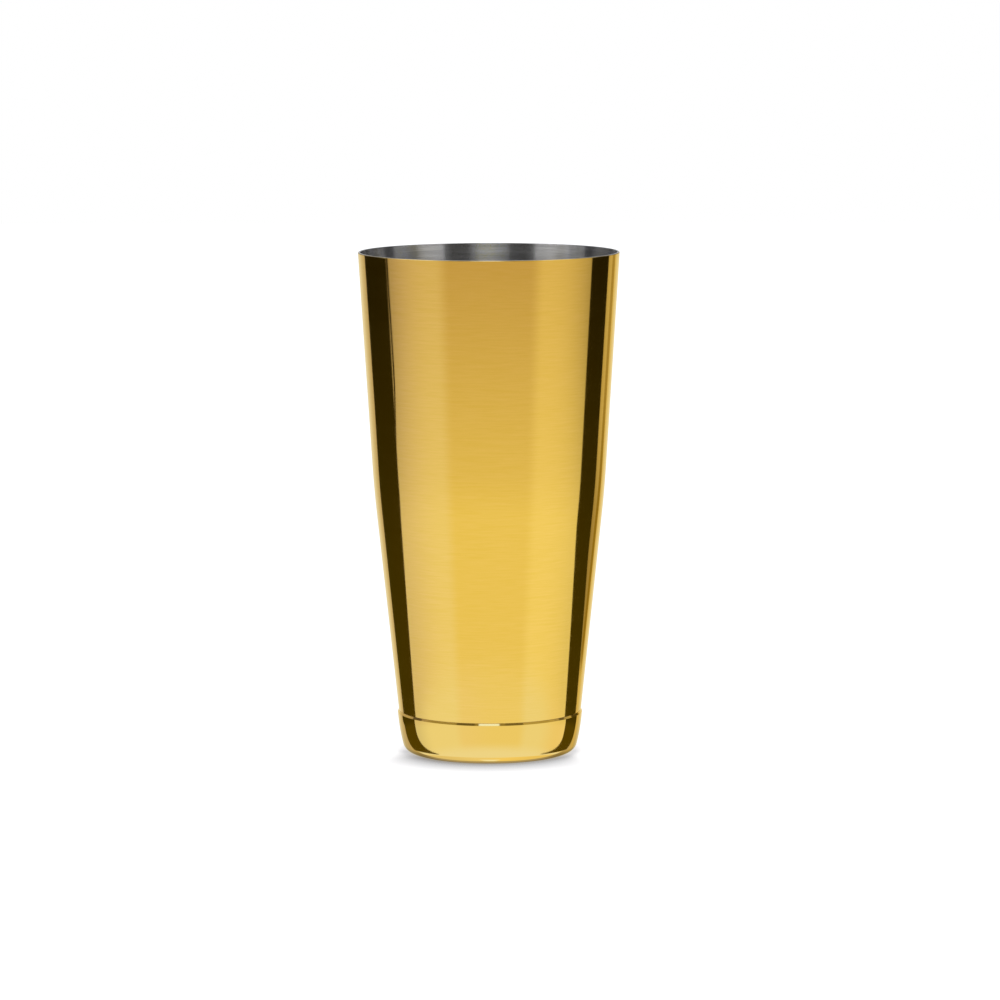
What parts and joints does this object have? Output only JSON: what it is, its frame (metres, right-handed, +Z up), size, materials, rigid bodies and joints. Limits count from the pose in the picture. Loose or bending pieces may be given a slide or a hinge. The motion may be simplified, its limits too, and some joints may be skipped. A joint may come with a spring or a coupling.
{
  "type": "weighted shaking tin",
  "caption": "Tall gold-finished steel shaking tin with a tapered wall, a bare steel inside and a weighted base cap, for mixing drinks.",
  "frame": {"origin": "on the tin's axis, at the level of the foot ring that it stands on", "axes": "+Z up along the tin's axis, towards the open mouth; X and Y are free, because the tin is round"},
  "size_m": [0.092, 0.092, 0.1775],
  "materials": {
    "gold_finished_steel": "thin hard gold coating on polished stainless steel, with a faint brushed grain around the axis",
    "weight_steel": "plain blanked steel, hidden in the base",
    "cured_epoxy": "poured and cured, slightly glossy amber, hidden in the base"
  },
  "bodies": {
    "root": {"tin_body": "gold_finished_steel", "base_cap": "gold_finished_steel", "weight_disc": "weight_steel", "potting_ring": "cured_epoxy"}
  },
  "joints": []
}
